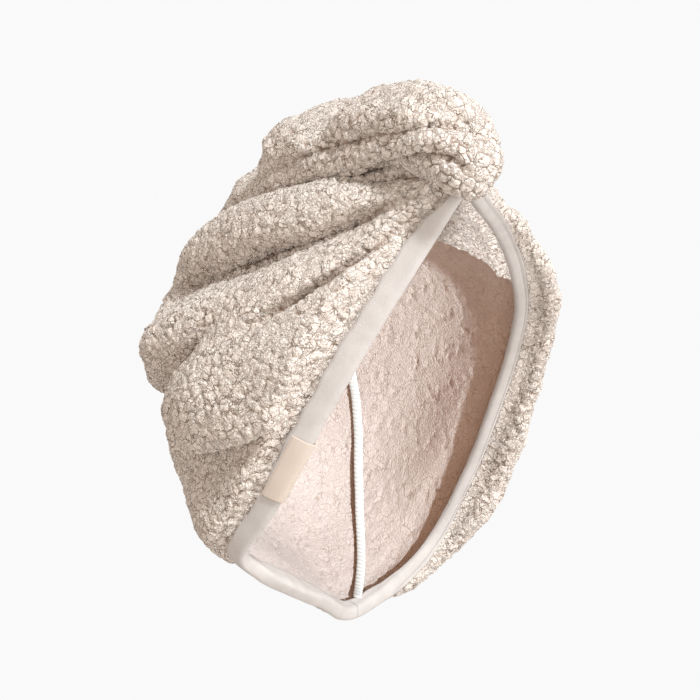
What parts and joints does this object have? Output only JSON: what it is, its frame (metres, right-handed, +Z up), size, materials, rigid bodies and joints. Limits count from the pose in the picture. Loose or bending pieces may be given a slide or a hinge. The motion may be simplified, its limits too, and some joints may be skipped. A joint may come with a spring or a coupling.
{
  "type": "hair towel",
  "caption": "Turban-style terry hair wrap in its worn form: hollow gathered cap, knot over the forehead, twisted tail laid back over the crown, taped rim.",
  "frame": {"origin": "middle of the opening that the head goes into, where the wrap sits on the head", "axes": "+Z up; the wearer faces -Y, so the knot points to -Y and the nape to +Y; +X is the wearer's left"},
  "size_m": [0.1825, 0.2349, 0.1979],
  "materials": {
    "terry": "matte looped terry",
    "tape": "smooth knit",
    "label": "woven satin",
    "thread": "overlocked thread",
    "button": "satin"
  },
  "bodies": {
    "root": {"cap": "terry", "twisted_tail": "terry", "binding_right": "tape", "binding_left": "tape", "side_label": "label", "back_seam": "thread", "tail_button": "button"}
  },
  "joints": []
}
